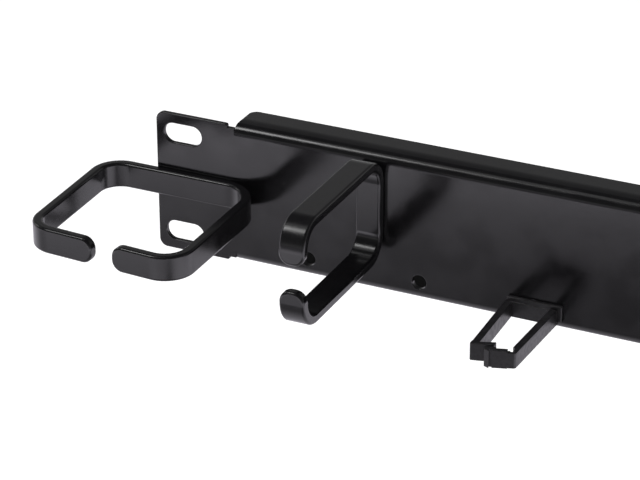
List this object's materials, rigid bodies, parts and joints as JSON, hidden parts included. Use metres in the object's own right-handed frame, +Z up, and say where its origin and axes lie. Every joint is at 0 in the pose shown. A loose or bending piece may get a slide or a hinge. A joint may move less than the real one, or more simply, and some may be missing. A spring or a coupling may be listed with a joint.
{
  "type": "horizontal cable manager",
  "caption": "Black one-unit rack panel folded to a shallow channel, with open end rings, upright C-shaped hooks and snap-in cable clips along its lower edge.",
  "frame": {"origin": "centre of the four rack slots, on the back of the ears, where they touch the rack rails", "axes": "+X along the panel, to the right seen from the front; the front faces -Y; +Z up"},
  "size_m": [0.5168, 0.0657, 0.0443],
  "materials": {
    "steel": "semi-gloss black powder coat on steel",
    "nylon": "moulded black nylon"
  },
  "bodies": {
    "manager": {"panel": "steel", "ring_left": "steel", "ring_right": "steel", "hook_left": "steel", "hook_middle": "steel", "hook_right": "steel", "clip_body_1": "nylon", "clip_body_2": "nylon", "clip_body_3": "nylon", "clip_body_4": "nylon"},
    "gate_1": {"clip_gate_1": "nylon"},
    "gate_2": {"clip_gate_2": "nylon"},
    "gate_3": {"clip_gate_3": "nylon"},
    "gate_4": {"clip_gate_4": "nylon"}
  },
  "joints": [
    {"name": "gate_1_hinge", "type": "hinge", "parent": "manager", "child": "gate_1", "pos_m": [-0.1155, -0.0303, -0.0176], "axis": [0, 0, 1], "range_deg": [0, 100]},
    {"name": "gate_2_hinge", "type": "hinge", "parent": "manager", "child": "gate_2", "pos_m": [-0.0449, -0.0303, -0.0176], "axis": [0, 0, 1], "range_deg": [0, 100]},
    {"name": "gate_3_hinge", "type": "hinge", "parent": "manager", "child": "gate_3", "pos_m": [0.0563, -0.0303, -0.0176], "axis": [0, 0, 1], "range_deg": [0, 100]},
    {"name": "gate_4_hinge", "type": "hinge", "parent": "manager", "child": "gate_4", "pos_m": [0.1269, -0.0303, -0.0176], "axis": [0, 0, 1], "range_deg": [0, 100]}
  ]
}
